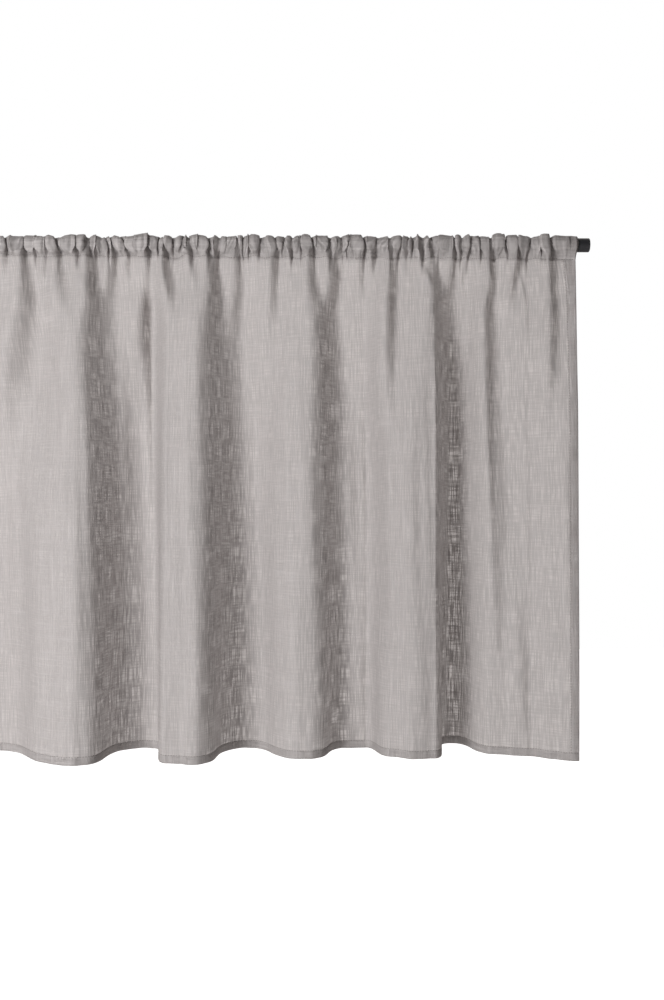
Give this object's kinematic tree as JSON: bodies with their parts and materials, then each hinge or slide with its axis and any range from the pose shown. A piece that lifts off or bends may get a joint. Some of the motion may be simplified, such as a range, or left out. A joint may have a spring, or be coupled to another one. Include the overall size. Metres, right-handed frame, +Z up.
{
  "type": "cafe curtain on rod",
  "caption": "Short semi-sheer linen cafe curtain, gathered by its rod pocket on a slim round rod, hanging in deep uneven folds with narrow hems.",
  "frame": {"origin": "middle of the rod's axis", "axes": "+X along the rod to the right seen from the room, -Y towards the room, +Z up"},
  "size_m": [0.828, 0.118, 0.6061],
  "materials": {
    "linen": "matte grey-beige plain-weave linen, semi-sheer, with slubs",
    "rod_finish": "satin near-black powder coat"
  },
  "bodies": {
    "root": {"cloth_panel": "linen", "rod": "rod_finish"}
  },
  "joints": []
}
